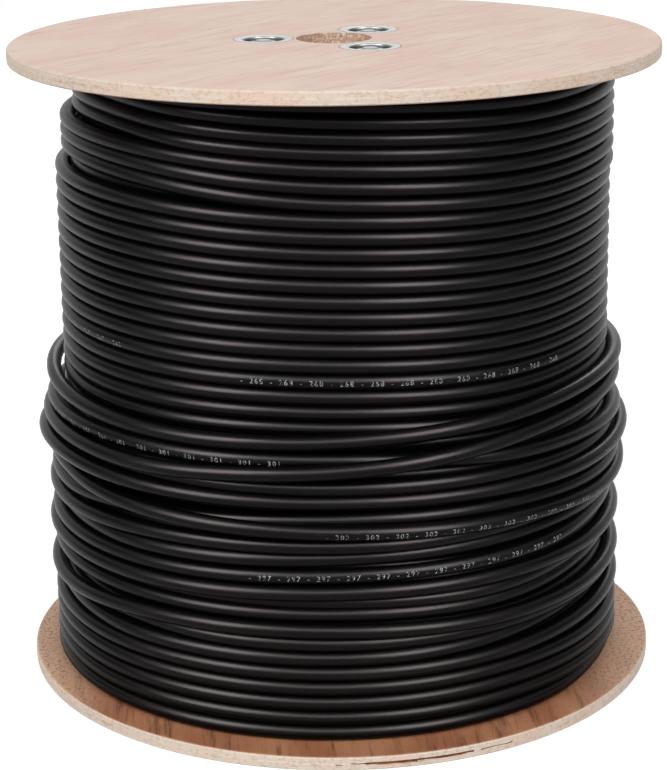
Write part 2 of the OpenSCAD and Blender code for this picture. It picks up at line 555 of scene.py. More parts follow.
def cable_piece(name, strand, sides):
    """A round tube along a strand, as a mesh. A bevel of resolution n has 2n + 4 sides."""
    points = strand_points(strand)
    path = bpy.data.curves.new(name, "CURVE")
    path.dimensions = "3D"
    path.bevel_depth = CABLE_D / 2
    path.bevel_resolution = (sides - 4) // 2
    path.use_fill_caps = True
    spline = path.splines.new("POLY")
    spline.points.add(len(points) - 1)
    weighted = np.concatenate([points, np.ones((len(points), 1))], axis=1)
    spline.points.foreach_set("co", weighted.ravel())
    piece = bpy.data.objects.new(name, path)
    bpy.context.scene.collection.objects.link(piece)
    bpy.ops.object.select_all(action="DESELECT")
    piece.select_set(True)
    bpy.context.view_layer.objects.active = piece
    bpy.ops.object.convert(target="MESH")
    bpy.ops.object.shade_smooth()
    piece = bpy.context.object
    metres = round(length_along(strand)[-1], 1)
    print(name, "is", metres, "m of cable in", len(piece.data.polygons), "faces")
    return piece


under_along = np.arange(LEFT - 360 * FULL_TURNS, LEFT + 1, 2 * STEP)
under_z = np.linspace(LAST_TURN_Z, TOP_TURN_Z, len(under_along))
under_r = FULL_R - LAYER_RISE * (1 + ease((under_z - UNDER_SINKS_Z) / UNDER_SINKS_OVER))
full_strand = Strand(full_along, full_z, full_r)
outer_strand = Strand(outer_along, outer_z, outer_r)
under_layer = cable_piece("cable_under_layer", Strand(under_along, under_z, under_r), sides=10)
full_layer = cable_piece("cable_full_layer", full_strand, sides=14)
outer_turns = cable_piece("cable_outer_turns", outer_strand, sides=16)

# %% [markdown]
# Effects that several finishes share
#
# Wood, paperboard, zinc and the cable's jacket all show streaks, and wood and the jacket show specks
# too, at different sizes. Each effect is a node group with named sockets, built once and given its own
# values in each material. A third group gives the azimuth and the distance from the drum's axis,
# because much on a drum runs around it.

# %% More node helpers
def fade(tree, value, low, high):
    """0 at low and past it, 1 at high and past it, and a smooth rise between. Low may be the larger."""
    return ramp(tree, value, low, high, kind="SMOOTHSTEP")


def noise(tree, vector, scale, detail=3):
    """Soft random values about 0.5."""
    made = tree.nodes.new("ShaderNodeTexNoise")
    plug(tree, made.inputs["Vector"], vector)
    plug(tree, made.inputs["Scale"], scale)
    plug(tree, made.inputs["Detail"], detail)
    return made.outputs[0]


def new_group(name, inputs, outputs):
    """An empty node group, with the sockets of its input and output nodes."""
    group = bpy.data.node_groups.new(name, "ShaderNodeTree")
    for label, kind in inputs.items():
        group.interface.new_socket(label, in_out="INPUT", socket_type="NodeSocket" + kind)
    for label, kind in outputs.items():
        group.interface.new_socket(label, in_out="OUTPUT", socket_type="NodeSocket" + kind)
    return group, group.nodes.new("NodeGroupInput").outputs, group.nodes.new("NodeGroupOutput").inputs


def use_group(tree, group, **values):
    """Places a node group in a material and gives back its outputs."""
    made = tree.nodes.new("ShaderNodeGroup")
    made.node_tree = group
    for name, value in values.items():
        plug(tree, made.inputs[name], value)
    return made.outputs


print("more helpers are ready")

# %% Streaks
streaks, given, result = new_group(
    "streaks",
    {"Place": "Vector", "Turn": "Float", "Along": "Float", "Across": "Float"},
    {"Mask": "Float"},
)
turned = streaks.nodes.new("ShaderNodeVectorRotate")
turned.rotation_type = "Z_AXIS"
plug(streaks, turned.inputs["Vector"], given["Place"])
plug(streaks, turned.inputs["Angle"], calc(streaks, "MULTIPLY", given["Turn"], -1))
density = streaks.nodes.new("ShaderNodeCombineXYZ")
for socket, name in zip(density.inputs, ("Along", "Across", "Across")):
    plug(streaks, socket, given[name])
drawn = streaks.nodes.new("ShaderNodeVectorMath")
drawn.operation = "MULTIPLY"
plug(streaks, drawn.inputs[0], turned.outputs[0])
plug(streaks, drawn.inputs[1], density.outputs[0])
plug(streaks, result["Mask"], noise(streaks, drawn.outputs[0], scale=1))
print(streaks.name, "has", len(streaks.nodes), "nodes")

# %% Specks, and the way round the axis
FEWEST_SPECKS = 0.78
SPECK_RANGE = 0.4
SPECK_EDGE = 0.06

specks, given, result = new_group(
    "specks",
    {"Place": "Vector", "Scale": "Float", "Share": "Float"},
    {"Mask": "Float"},
)
edge = calc(specks, "SUBTRACT", FEWEST_SPECKS, calc(specks, "MULTIPLY", given["Share"], SPECK_RANGE))
dots = noise(specks, given["Place"], given["Scale"], detail=2)
plug(specks, result["Mask"], fade(specks, dots, edge, calc(specks, "ADD", edge, SPECK_EDGE)))

around, given, result = new_group(
    "around_axis",
    {"Place": "Vector"},
    {"Azimuth": "Float", "Radius": "Float"},
)
x, y, _ = parts_of(around, given["Place"])
squares = calc(around, "ADD", calc(around, "MULTIPLY", x, x), calc(around, "MULTIPLY", y, y))
plug(around, result["Azimuth"], calc(around, "ARCTAN2", y, x))
plug(around, result["Radius"], calc(around, "SQRT", squares))
print("node groups:", [group.name for group in bpy.data.node_groups])

# %% [markdown]
# Black jacket
#
# The cable's jacket is extruded polyethylene: black, with a satin skin that mirrors the soft boxes as
# one long line on every turn. It is not quite even. Handling leaves faint rubbed streaks along the
# cable and a little pale dust, so its roughness and colour wander slightly in long thin patches that
# follow the turns. For that the winding is unrolled: distance round the drum, height, and distance from
# the axis.

# %% Jacket material
JACKET_BLACK = (0.001, 0.001, 0.001, 1)
JACKET_RUBBED = (0.004, 0.0037, 0.0035, 1)
JACKET_DUST = (0.06, 0.056, 0.052, 1)
JACKET_SHINE = 0.085
JACKET_TINT = (1, 0.9, 0.89, 1)
JACKET_ROUGHNESS = 0.24
RUBBED_ROUGHER = 0.1
PATCHES_ROUGHER = 0.08


def tint(tree, colour, over, mask, most=1):
    """Lays a second colour over the first where a mask says, and at most by a share."""
    made = tree.nodes.new("ShaderNodeMix")
    made.data_type = "RGBA"
    share, first, second = made.inputs[0], made.inputs[6], made.inputs[7]
    plug(tree, share, mask if most == 1 else calc(tree, "MULTIPLY", mask, most))
    plug(tree, first, colour)
    plug(tree, second, over)
    return made.outputs[2]


def bump(tree, surface, height, distance, strength):
    """Lets a height stand up from the surface by a distance."""
    made = tree.nodes.new("ShaderNodeBump")
    made.inputs["Distance"].default_value = distance
    made.inputs["Strength"].default_value = strength
    tree.links.new(height, made.inputs["Height"])
    tree.links.new(made.outputs[0], surface["Normal"])


def coordinates(tree):
    """The outputs of a Texture Coordinate node."""
    return tree.nodes.new("ShaderNodeTexCoord").outputs


def unroll(tree, ring, *others):
    """A vector of the distance round the drum and the other values given."""
    made = tree.nodes.new("ShaderNodeCombineXYZ")
    distance = calc(tree, "MULTIPLY", ring["Azimuth"], ring["Radius"])
    for socket, value in zip(made.inputs, (distance, *others)):
        plug(tree, socket, value)
    return made.outputs[0]


jacket, tree, surface = new_material("black_jacket")
place = coordinates(tree)["Object"]
ring = use_group(tree, around, Place=place)
unrolled = unroll(tree, ring, parts_of(tree, place)[2], ring["Radius"])
rubbed = use_group(tree, streaks, Place=unrolled, Turn=0.0, Along=14.0, Across=520.0)["Mask"]
patchy = noise(tree, place, scale=22)
dust = use_group(tree, specks, Place=place, Scale=900.0, Share=0.14)["Mask"]
most_rubbed = fade(tree, rubbed, low=0.5, high=0.75)
worn = calc(tree, "MULTIPLY", most_rubbed, fade(tree, patchy, low=0.45, high=0.7))
colour = tint(tree, JACKET_BLACK, JACKET_RUBBED, worn)
plug(tree, surface["Base Color"], tint(tree, colour, JACKET_DUST, dust, most=0.25))
satin = calc(tree, "MULTIPLY_ADD", rubbed, RUBBED_ROUGHER, JACKET_ROUGHNESS)
plug(tree, surface["Roughness"], calc(tree, "MULTIPLY_ADD", patchy, PATCHES_ROUGHER, satin))
surface["Specular IOR Level"].default_value = JACKET_SHINE
surface["Specular Tint"].default_value = JACKET_TINT
bump(tree, surface, rubbed, distance=0.08 * MM, strength=0.35)

for piece in (under_layer, full_layer, outer_turns):
    piece.data.materials.clear()
    piece.data.materials.append(jacket)
    glossy_pieces.objects.link(piece)
    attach(piece, "root")
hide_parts("cable_winding")
print("jacket is on", under_layer.name, full_layer.name, "and", outer_turns.name)

# %% [markdown]
# Length marks
#
# While a cable is made, a wheel prints the count of metres on its jacket. Here that is plain digits
# between dashes, one print for every metre of cable. An image could carry them, but characters of mesh
# stay sharp and need no map of the cable. Each character is modelled once: a text is made a mesh and
# cut into low strips, because only a mesh with points enough can bend round the jacket. The copies are
# then laid along the cable by its length. Cable twists as it is wound, so each print faces up or down a
# little, and its pale ink has worn off in places.

# %% Characters
CHARACTER_SIZE = 3.4 * MM
STRIP = 0.45 * MM
STRIPS_EACH_WAY = 3


def flat_character(character):
    """Points and faces of one character, centred and cut into strips."""
    bpy.ops.object.select_all(action="DESELECT")
    bpy.ops.object.text_add()
    writing = bpy.context.object.data
    writing.body = character
    writing.size = CHARACTER_SIZE
    writing.align_x = "CENTER"
    writing.align_y = "CENTER"
    writing.resolution_u = 2
    bpy.ops.object.convert(target="MESH")
    shape = bpy.context.object
    bpy.ops.object.mode_set(mode="EDIT")
    for number in range(-STRIPS_EACH_WAY, STRIPS_EACH_WAY + 1):
        bpy.ops.mesh.select_all(action="SELECT")
        bpy.ops.mesh.bisect(plane_co=(0, number * STRIP, 0), plane_no=(0, 1, 0))
    bpy.ops.object.mode_set(mode="OBJECT")
    points = np.array([vertex.co[:2] for vertex in shape.data.vertices])
    faces = [list(face.vertices) for face in shape.data.polygons]
    bpy.data.objects.remove(shape, do_unlink=True)
    return points, faces


characters = {character: flat_character(character) for character in "0123456789-"}
print("a digit is", round(np.ptp(characters["0"][0][:, 1]) / MM, 1), "mm high")

# %% Prints along the cable
MARK_EVERY = 1.0
MARK_GROUPS = 12
MARK_GAP = " "
MARK_PITCH = 2.1 * MM
INK_R = CABLE_D / 2 + 0.03 * MM
INK_TWIST = math.radians(16)
PRINT_AZIMUTH = -74
# Each row: a strand, a turn that has a print at that azimuth, its count, and the heights with prints
PRINTS = (
    (full_strand, 17, 268, (150 * MM, 180 * MM)),
    (outer_strand, 11, 297, (80 * MM, 160 * MM)),
)


def wrapped(strand, length, start, flat, tilt):
    """Points of a flat character, bent round the jacket at a place along a strand."""
    spot = start + flat[:, 0]
    lift = tilt + flat[:, 1] / INK_R
    along = np.interp(spot, length, strand.along)
    heights = np.interp(spot, length, strand.heights) + INK_R * np.sin(lift)
    radii = np.interp(spot, length, strand.radii) + INK_R * np.cos(lift)
    return strand_points(Strand(along, heights, radii))


def printed(strand, angle, count, between):
    """Points and faces of each printed character, with the given count at the given angle."""
    length = length_along(strand)
    middle = np.interp(angle, strand.along, length)
    first = -int((middle - length[0]) / MARK_EVERY)
    last = int((length[-1] - middle) / MARK_EVERY)
    for number in range(first, last + 1):
        spot = middle + number * MARK_EVERY
        if not between[0] < np.interp(spot, length, strand.heights) < between[1]:
            continue
        row = ("-" + MARK_GAP + str(count + number) + MARK_GAP) * MARK_GROUPS
        for place, character in enumerate(row):
            if character != MARK_GAP:
                flat, loops = characters[character]
                start = spot + (place - len(row) / 2) * MARK_PITCH
                yield wrapped(strand, length, start, flat, INK_TWIST * math.sin(number)), loops


vertices = []
faces = []
for strand, turn, count, between in PRINTS:
    for points, loops in printed(strand, PRINT_AZIMUTH + 360 * turn, count, between):
        begin = len(vertices)
        vertices.extend(points)
        faces.extend([begin + corner for corner in loop] for loop in loops)
mesh = bpy.data.meshes.new("cable_marks")
mesh.from_pydata(vertices, [], faces)
cable_marks = bpy.data.objects.new("cable_marks", mesh)
bpy.context.scene.collection.objects.link(cable_marks)
print("cable marks have", len(faces), "faces")

# %% Ink material
INK = (0.33, 0.335, 0.34, 1)
INK_WORN = (0.03, 0.03, 0.03, 1)
INK_ROUGHNESS = 0.6
WORN_SMOOTHER = -0.15

ink, tree, surface = new_material("pale_ink")
wear = fade(tree, noise(tree, coordinates(tree)["Object"], scale=900), low=0.42, high=0.62)
plug(tree, surface["Base Color"], tint(tree, INK, INK_WORN, wear))
plug(tree, surface["Roughness"], calc(tree, "MULTIPLY_ADD", wear, WORN_SMOOTHER, INK_ROUGHNESS))
surface["Specular IOR Level"].default_value = JACKET_SHINE
cable_marks.data.materials.append(ink)
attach(cable_marks, "root")
print("ink is on", cable_marks.name)

# %% [markdown]
# A plywood flange
#
# Each flange is a disc sawn from five-ply board. Its rim is rounded by sanding, thin glue lines part
# the plies, and here and there a gap in the core ply opens at the edge. It could be turned as one
# profile. Here it is made as by hand: a flat cylinder is bevelled, cut at the glue lines, and drilled
# for the arbor, the washers and the barrel. A narrow inset band inside the rounded edge keeps the
# shading of the flat faces flat.

# %% Selecting by place
def pick(piece, kind, test):
    """Selects the vertices, edges or faces whose middle passes a test, and stays in edit mode."""
    if bpy.context.mode != "OBJECT":
        bpy.ops.object.mode_set(mode="OBJECT")
    bpy.ops.object.select_all(action="DESELECT")
    piece.select_set(True)
    bpy.context.view_layer.objects.active = piece
    bpy.ops.object.mode_set(mode="EDIT")
    bpy.ops.mesh.select_mode(type=kind)
    bpy.ops.mesh.select_all(action="DESELECT")
    bpy.ops.object.mode_set(mode="OBJECT")
    mesh = piece.data
    spots = [vertex.co for vertex in mesh.vertices]
    if kind == "VERT":
        items, middles = mesh.vertices, spots
    elif kind == "EDGE":
        items = mesh.edges
        middles = [(spots[edge.vertices[0]] + spots[edge.vertices[1]]) / 2 for edge in items]
    else:
        items = mesh.polygons
        middles = [face.center for face in items]
    chosen = [test(middle) for middle in middles]
    for item, choice in zip(items, chosen):
        item.select = choice
    bpy.ops.object.mode_set(mode="EDIT")
    return sum(chosen)


def off_axis(spot):
    """How far a spot lies from the drum's axis."""
    return math.hypot(spot.x, spot.y)


flange_low, flange_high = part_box("lower_flange")
FLANGE_R = flange_high[0]
FLANGE_T = flange_high[2] - flange_low[2]
print("flange is", round(2 * FLANGE_R / MM), "mm across and", round(FLANGE_T / MM, 1), "mm thick")

# %% Flange blank
FLANGE_SIDES = 288
RIM_ROUND = 1.3 * MM
FLAT_BAND = 0.6 * MM
PLIES = 5
GLUE_HALF = 0.09 * MM
GLUE_DEPTH = 0.16 * MM
PLY_T = FLANGE_T / PLIES
NEAR = 0.02 * MM
glue_lines = [PLY_T * number for number in range(1, PLIES)]


def on_flat_edge(spot):
    return min(spot.z, FLANGE_T - spot.z) < NEAR


def on_glue_line(spot):
    return min(abs(spot.z - glue_z) for glue_z in glue_lines) < NEAR


bpy.ops.object.select_all(action="DESELECT")
bpy.ops.mesh.primitive_cylinder_add(vertices=FLANGE_SIDES, radius=FLANGE_R, depth=FLANGE_T)
lower_board = bpy.context.object
lower_board.name = "lower_flange_board"
lower_board.location.z = FLANGE_T / 2
bpy.ops.object.transform_apply(location=True)
pick(lower_board, "EDGE", on_flat_edge)
bpy.ops.mesh.bevel(offset=RIM_ROUND, segments=4, affect="EDGES")
pick(lower_board, "FACE", lambda spot: off_axis(spot) < NEAR)
bpy.ops.mesh.inset(thickness=FLAT_BAND)
for glue_z in glue_lines:
    for cut in (glue_z - GLUE_HALF, glue_z, glue_z + GLUE_HALF):
        bpy.ops.mesh.select_all(action="SELECT")
        bpy.ops.mesh.bisect(plane_co=(0, 0, cut), plane_no=(0, 0, 1))
glue_scale = 1 - GLUE_DEPTH / FLANGE_R
print(pick(lower_board, "VERT", on_glue_line), "points lie on the glue lines")
bpy.ops.transform.resize(value=(glue_scale, glue_scale, 1), center_override=(0, 0, 0))
bpy.ops.object.mode_set(mode="OBJECT")

# %% Holes in the flange
ARBOR_R = 17.5 * MM
SEAT_R = 14.2 * MM
SEAT_DEPTH = 1.2 * MM
CUP_HOLE_R = 10.9 * MM
GROOVE_OUTER_R = 52.2 * MM
GROOVE_INNER_R = 44.8 * MM
GROOVE_DEPTH = 2 * MM
ROD_CIRCLE_R = 32.5 * MM
ROD_AZIMUTHS = (60, 180, 300)
SPARE = 1 * MM
HOLE_SIDES = 96


def drill(radius, low, high, middle=(0, 0)):
    """A round cutter between two heights."""
    bpy.ops.object.select_all(action="DESELECT")
    centre = (middle[0], middle[1], (low + high) / 2)
    bpy.ops.mesh.primitive_cylinder_add(
        vertices=HOLE_SIDES, radius=radius, depth=high - low, location=centre
    )
    return bpy.context.object


def cut_away(piece, cutter):
    """Takes one shape out of another and throws the cutter away."""
    knife = piece.modifiers.new("cut", "BOOLEAN")
    knife.operation = "DIFFERENCE"
    knife.object = cutter
    bpy.context.view_layer.objects.active = piece
    bpy.ops.object.modifier_apply(modifier=knife.name)
    bpy.data.objects.remove(cutter, do_unlink=True)


cut_away(lower_board, drill(ARBOR_R, -SPARE, FLANGE_T + SPARE))
for azimuth in ROD_AZIMUTHS:
    turn = math.radians(azimuth)
    middle = (ROD_CIRCLE_R * math.cos(turn), ROD_CIRCLE_R * math.sin(turn))
    cut_away(lower_board, drill(SEAT_R, -SPARE, SEAT_DEPTH, middle))
    cut_away(lower_board, drill(CUP_HOLE_R, 0, FLANGE_T + SPARE, middle))
groove = drill(GROOVE_OUTER_R, FLANGE_T - GROOVE_DEPTH, FLANGE_T + SPARE)
cut_away(groove, drill(GROOVE_INNER_R, 0, FLANGE_T + 2 * SPARE))
cut_away(lower_board, groove)
print("flange has", len(lower_board.data.polygons), "faces after drilling")

# %% [markdown]
# The arbor hole
#
# A hole saw leaves a torn wall in plywood. Cuts at the glue lines give the wall points to move, and a
# small random shift, the same on every run, makes it ragged. The hole's two edges stay as they are and
# are marked sharp, so the torn wall doesn't shade the flat faces.

# %% Torn arbor wall
TORN = 0.45 * MM
LIP = 0.5 * MM


def on_arbor_wall(spot):
    return off_axis(spot) < ARBOR_R + NEAR


def on_torn_wall(spot):
    return on_arbor_wall(spot) and LIP / 2 < spot.z < FLANGE_T - LIP / 2


for cut in (LIP, *glue_lines, FLANGE_T - LIP):
    pick(lower_board, "FACE", on_arbor_wall)
    bpy.ops.mesh.bisect(plane_co=(0, 0, cut), plane_no=(0, 0, 1))
print(pick(lower_board, "VERT", on_torn_wall), "points of the arbor wall are torn")
bpy.ops.transform.vertex_random(offset=TORN, uniform=0.3, seed=4)
pick(lower_board, "EDGE", lambda spot: on_arbor_wall(spot) and on_flat_edge(spot))
bpy.ops.mesh.mark_sharp()
bpy.ops.object.mode_set(mode="OBJECT")

# %% [markdown]
# Two flanges and their gaps
#
# The upper flange is the same board turned over, so it is a copy, mirrored to the other end of the
# drum. The gaps in the core ply differ: where two strips of veneer don't meet, a thin ragged slot opens
# in the rim. Two cuts part the slot from the ply, an inset sinks it, and a small random shift of its
# edges tears them.

# %% Upper flange
DRUM_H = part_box("upper_flange")[1][2]

bpy.ops.object.select_all(action="DESELECT")
lower_board.select_set(True)
bpy.context.view_layer.objects.active = lower_board
bpy.ops.object.duplicate()
upper_board = bpy.context.object
upper_board.name = "upper_flange_board"
upper_board.scale.z = -1
upper_board.location.z = DRUM_H
bpy.ops.object.transform_apply(location=True, scale=True)
bpy.ops.object.mode_set(mode="EDIT")
bpy.ops.mesh.select_all(action="SELECT")
bpy.ops.mesh.normals_make_consistent(inside=False)
bpy.ops.object.mode_set(mode="OBJECT")
print("upper flange reaches to", round(DRUM_H / MM, 1), "mm")

# %% Gaps in the core ply
GAP_EDGE = 0.03 * MM
GAP_DEPTH = 1.6 * MM
GAP_TORN = 0.3 * MM
MERGE = 0.001 * MM
SHARP_ANGLE = math.radians(32)
# Each gap: its two azimuths in degrees, its rise above the core's middle and its half height in mm
LOWER_GAPS = (
    (-91, -89.7, -0.3, 0.2),
    (-89, -86.5, 0.2, 0.25),
    (-86, -77, -0.05, 0.58),
    (-77, -68, 0.1, 0.42),
    (-67, -60, 0.2, 0.26),
    (74, 81, 0, 0.5),
    (82, 88, 0.1, 0.3),
    (160, 171, 0.1, 0.3),
)
UPPER_GAPS = ((20, 26, 0, 0.3), (26, 33, 0.1, 0.5), (118, 126, 0.1, 0.3))


def open_gap(board, start, end, level_z, half):
    """Sinks a ragged slot into a board's rim between two azimuths."""

    def in_gap(spot, reach):
        azimuth = math.degrees(math.atan2(spot.y, spot.x))
        on_rim = off_axis(spot) > FLANGE_R - SPARE
        return on_rim and start < azimuth < end and abs(spot.z - level_z) < reach

    for cut in (level_z - half, level_z + half):
        pick(board, "FACE", lambda spot: in_gap(spot, PLY_T / 2))
        bpy.ops.mesh.bisect(plane_co=(0, 0, cut), plane_no=(0, 0, 1))
    pick(board, "FACE", lambda spot: in_gap(spot, half))
    bpy.ops.mesh.inset(thickness=GAP_EDGE, depth=-GAP_DEPTH)
    pick(board, "VERT", lambda spot: in_gap(spot, half + NEAR))
    bpy.ops.transform.vertex_random(offset=GAP_TORN, uniform=0.2, seed=2)


flange_gaps = (
    (lower_board, 0, LOWER_GAPS),
    (upper_board, DRUM_H - FLANGE_T, UPPER_GAPS),
)
for board, bottom, gaps in flange_gaps:
    for start, end, rise, half in gaps:
        open_gap(board, start, end, bottom + FLANGE_T / 2 + rise * MM, half * MM)
    bpy.ops.mesh.select_all(action="SELECT")
    bpy.ops.mesh.remove_doubles(threshold=MERGE)
    bpy.ops.object.mode_set(mode="OBJECT")
    bpy.ops.object.shade_smooth_by_angle(angle=SHARP_ANGLE)
    print(board.name, "has", len(gaps), "gaps in its core")

# %% [markdown]
# Plywood
#
# The drum's plywood has a pale pinkish veneer outside and a redder one inside, each with its own
# direction of grain. At the drum's left and right the red face is painted paler, a painted light for
# the light that falls on the sides, drawn as sapwood with its pores. A picture of wood would end at
# every edge, but a pattern worked out from places in space runs through the board, as real grain does.
# One material tells the two faces apart by height and by the way the surface faces.

# %% Plywood faces
PALE_VENEER = (0.64, 0.468, 0.402, 1)
PALE_STREAK = (0.485, 0.325, 0.262, 1)
PALE_PATCH = (0.655, 0.525, 0.442, 1)
RED_VENEER = (0.30, 0.116, 0.057, 1)
RED_STREAK = (0.075, 0.025, 0.011, 1)
RED_PATCH = (0.375, 0.168, 0.085, 1)
# Painted light: the red face grows this pale towards the drum's left and right
SIDE_LIGHT_COLOUR = (0.65, 0.42, 0.29, 1)
PORE = (0.10, 0.05, 0.03, 1)
PALE_TURN = math.radians(52)
RED_TURN = math.radians(94)
SIDE_LIGHT_FROM = 95 * MM
SIDE_LIGHT_FULL = 150 * MM


def veneer(tree, place, turn, colours, along, across, contrast, pores):
    """Colour and fine grain of one face of the board."""
    plain, dark, light = colours
    grain = use_group(tree, streaks, Place=place, Turn=turn, Along=along, Across=across)["Mask"]
    figure = use_group(
        tree, streaks, Place=place, Turn=turn, Along=along / 3, Across=across / 4
    )["Mask"]
    cloud = use_group(tree, streaks, Place=place, Turn=turn, Along=18.0, Across=45.0)["Mask"]
    fine = fade(tree, grain, low=0.46, high=0.72)
    lines = calc(tree, "MULTIPLY", fine, fade(tree, figure, low=0.35, high=0.65))
    dots = use_group(tree, specks, Place=place, Scale=700.0, Share=pores)["Mask"]
    colour = tint(tree, plain, light, fade(tree, cloud, low=0.38, high=0.62))
    colour = tint(tree, colour, dark, lines, most=0.75)
    colour = tint(tree, colour, dark, fade(tree, figure, low=0.48, high=0.72), most=contrast)
    return tint(tree, colour, PORE, dots, most=0.5), grain


plywood, tree, surface = new_material("plywood")
coords = coordinates(tree)
place = coords["Object"]
x, _, height = parts_of(tree, place)
upright = parts_of(tree, coords["Normal"])[2]
pale_colours = (PALE_VENEER, PALE_STREAK, PALE_PATCH)
red_colours = (RED_VENEER, RED_STREAK, RED_PATCH)
pale, pale_grain = veneer(
    tree, place, PALE_TURN, pale_colours, along=60, across=1300, contrast=0.16, pores=0.12
)
red, red_grain = veneer(
    tree, place, RED_TURN, red_colours, along=60, across=1000, contrast=0.35, pores=0.3
)
to_middle = calc(tree, "SUBTRACT", DRUM_H / 2, height)
inside = calc(tree, "GREATER_THAN", calc(tree, "MULTIPLY", to_middle, upright), 0)
# Towards the left and right the red face is painted paler, a painted light, with pores
side_pores = use_group(tree, specks, Place=place, Scale=620.0, Share=0.6)["Mask"]
side_light_wood = tint(tree, SIDE_LIGHT_COLOUR, RED_STREAK, side_pores, most=0.55)
at_sides = fade(tree, calc(tree, "ABSOLUTE", x), SIDE_LIGHT_FROM, SIDE_LIGHT_FULL)
face_colour = tint(tree, pale, tint(tree, red, side_light_wood, at_sides, most=0.9), inside)
print("plywood has a pale face and a red one, in", len(tree.nodes), "nodes")

# %% [markdown]
# The plies at the rim
#
# At the rim the plies show in turn as end grain, dark and speckled, or as long grain, pale and smooth,
# depending on which way the wood was cut there. So the colour follows the number of the ply and the
# azimuth. Warm patches, a mottle and thin brown glue lines lie over that.

# %% Ply colours
LONG_GRAIN = (0.66, 0.575, 0.49, 1)
END_GRAIN = (0.635, 0.525, 0.435, 1)
PEACH = (0.68, 0.46, 0.35, 1)
GLUE = (0.42, 0.27, 0.18, 1)

ring = use_group(tree, around, Place=place)
depth = calc(tree, "MINIMUM", height, calc(tree, "SUBTRACT", DRUM_H, height))
ply = calc(tree, "DIVIDE", depth, PLY_T)
odd = calc(tree, "MODULO", calc(tree, "FLOOR", ply), 2)
radius_squared = calc(tree, "POWER", ring["Radius"], 2)
cosine_squared = calc(tree, "DIVIDE", calc(tree, "MULTIPLY", x, x), radius_squared)
end_share = calc(tree, "ABSOLUTE", calc(tree, "SUBTRACT", cosine_squared, odd))
warm = fade(tree, noise(tree, place, scale=30), low=0.45, high=0.65)
mottle = fade(tree, noise(tree, place, scale=520), low=0.5, high=0.64)
past_half = calc(tree, "FRACT", calc(tree, "ADD", ply, 0.5))
from_seam = calc(tree, "ABSOLUTE", calc(tree, "SUBTRACT", past_half, 0.5))
seam = calc(tree, "SUBTRACT", 1, fade(tree, from_seam, low=0.02, high=0.1))
glue_line = calc(tree, "MULTIPLY", seam, noise(tree, place, scale=60))
rim_colour = tint(tree, LONG_GRAIN, END_GRAIN, end_share)
rim_colour = tint(tree, rim_colour, PEACH, warm, most=0.4)
rim_colour = tint(tree, rim_colour, GLUE, mottle, most=0.32)
rim_colour = tint(tree, rim_colour, GLUE, glue_line, most=0.35)
print("plies are", round(PLY_T / MM, 1), "mm thick")

# %% [markdown]
# Torn wood
#
# Sawing tears short dark fibres out of the rim. The gaps in the core ply are darkened inside by a
# painted shade, and some of the core beside them is stained. The wall of the arbor hole is torn all
# over, so it gets a rough wood of its own.

# %% Fibres, gaps and the arbor wall
# Colour of the dark fibres, and of the painted shade inside the gaps of the core ply
FIBRE_AND_GAP_SHADE = (0.30, 0.16, 0.085, 1)
TORN_WOOD = (0.54, 0.33, 0.22, 1)
ARBOR_REACH = ARBOR_R + 1 * MM
GAP_FROM_R = FLANGE_R - 0.25 * MM
GAP_FULL_R = FLANGE_R - 0.7 * MM
GAP_END_R = FLANGE_R - 2 * MM

unrolled = unroll(tree, ring, height)
fleck = use_group(tree, streaks, Place=unrolled, Turn=0.0, Along=260.0, Across=1300.0)["Mask"]
thick = fade(tree, noise(tree, place, scale=70), low=0.35, high=0.7)
fibres = calc(tree, "MULTIPLY", fade(tree, fleck, low=0.52, high=0.72), thick)
from_core = calc(tree, "ABSOLUTE", calc(tree, "SUBTRACT", ply, PLIES / 2))
core = calc(tree, "LESS_THAN", from_core, 0.5)
# Painted shade inside the gaps of the core ply, just behind the rim
behind_rim = fade(tree, ring["Radius"], GAP_FROM_R, GAP_FULL_R)
near_rim = calc(tree, "GREATER_THAN", ring["Radius"], GAP_END_R)
gap_shade = calc(tree, "MULTIPLY", calc(tree, "MULTIPLY", behind_rim, near_rim), core)
stain = calc(tree, "MULTIPLY", core, fade(tree, noise(tree, place, scale=24), low=0.52, high=0.66))
stain = calc(tree, "MULTIPLY", stain, fade(tree, fleck, low=0.42, high=0.6))
rim_colour = tint(tree, rim_colour, FIBRE_AND_GAP_SHADE, fibres, most=0.5)
rim_colour = tint(tree, rim_colour, FIBRE_AND_GAP_SHADE, gap_shade)
rim_colour = tint(tree, rim_colour, TORN_WOOD, stain)
torn_specks = use_group(tree, specks, Place=place, Scale=900.0, Share=0.45)["Mask"]
torn = fade(tree, noise(tree, place, scale=800), low=0.36, high=0.5)
rough_wood = tint(tree, LONG_GRAIN, TORN_WOOD, torn)
rough_wood = tint(tree, rough_wood, PORE, torn_specks, most=0.6)
in_arbor = calc(tree, "LESS_THAN", ring["Radius"], ARBOR_REACH)
rim_colour = tint(tree, rim_colour, rough_wood, in_arbor)
print("plywood has", len(tree.nodes), "nodes with its rim")

# %% Plywood on both flanges
WOOD_ROUGHNESS = 0.6
GRAIN_ROUGHER = 0.15
WOOD_SHINE = 0.3

flat_face = fade(tree, calc(tree, "ABSOLUTE", upright), low=0.6, high=0.93)
plug(tree, surface["Base Color"], tint(tree, rim_colour, face_colour, flat_face))
plug(tree, surface["Roughness"], calc(tree, "MULTIPLY_ADD", pale_grain, GRAIN_ROUGHER, WOOD_ROUGHNESS))
surface["Specular IOR Level"].default_value = WOOD_SHINE
grain = tint(tree, pale_grain, red_grain, inside)
bump(tree, surface, calc(tree, "SUBTRACT", grain, fibres), distance=0.12 * MM, strength=0.6)

for name, board in (("lower", lower_board), ("upper", upper_board)):
    board.data.materials.clear()
    board.data.materials.append(plywood)
    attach(board, "root")
    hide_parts(name + "_flange")
print("plywood is on", lower_board.name, "and", upper_board.name)
